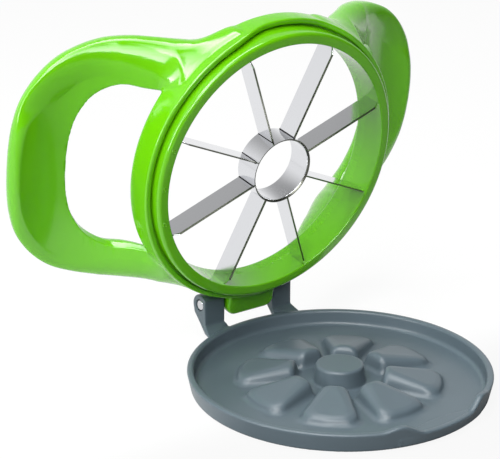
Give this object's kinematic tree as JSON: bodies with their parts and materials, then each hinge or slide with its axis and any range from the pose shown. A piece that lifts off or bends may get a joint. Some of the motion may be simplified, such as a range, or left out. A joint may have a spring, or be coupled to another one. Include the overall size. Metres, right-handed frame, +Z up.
{
  "type": "apple slicer wedger press",
  "caption": "Round apple slicer on two loop handles, hinged to a shallow grey tray whose bosses push the wedges and the core through the blades.",
  "frame": {"origin": "centre of the tray's underside", "axes": "+Z up from the table, +X along the hinge pin towards the right handle seen from the notch, +Y from the finger notch towards the hinge"},
  "size_m": [0.183, 0.1383, 0.1281],
  "materials": {
    "presser_tray": "satin",
    "hinge_pin": "bright",
    "handle_frame": "gloss",
    "blade_retaining_collar": "gloss",
    "blade_1": "polished",
    "blade_2": "polished",
    "blade_3": "polished",
    "blade_4": "polished",
    "blade_5": "polished",
    "blade_6": "polished",
    "blade_7": "polished",
    "blade_8": "polished",
    "core_cutter": "polished"
  },
  "bodies": {
    "tray": {"presser_tray": "presser_tray", "hinge_pin": "hinge_pin"},
    "slicer_frame": {"handle_frame": "handle_frame", "blade_retaining_collar": "blade_retaining_collar", "blade_1": "blade_1", "blade_2": "blade_2", "blade_3": "blade_3", "blade_4": "blade_4", "blade_5": "blade_5", "blade_6": "blade_6", "blade_7": "blade_7", "blade_8": "blade_8", "core_cutter": "core_cutter"}
  },
  "joints": [
    {"name": "frame_hinge", "type": "hinge", "parent": "tray", "child": "slicer_frame", "pos_m": [0, 0.05898, 0.01579], "axis": [-1, 0, 0], "range_deg": [-79.74, 60]}
  ]
}
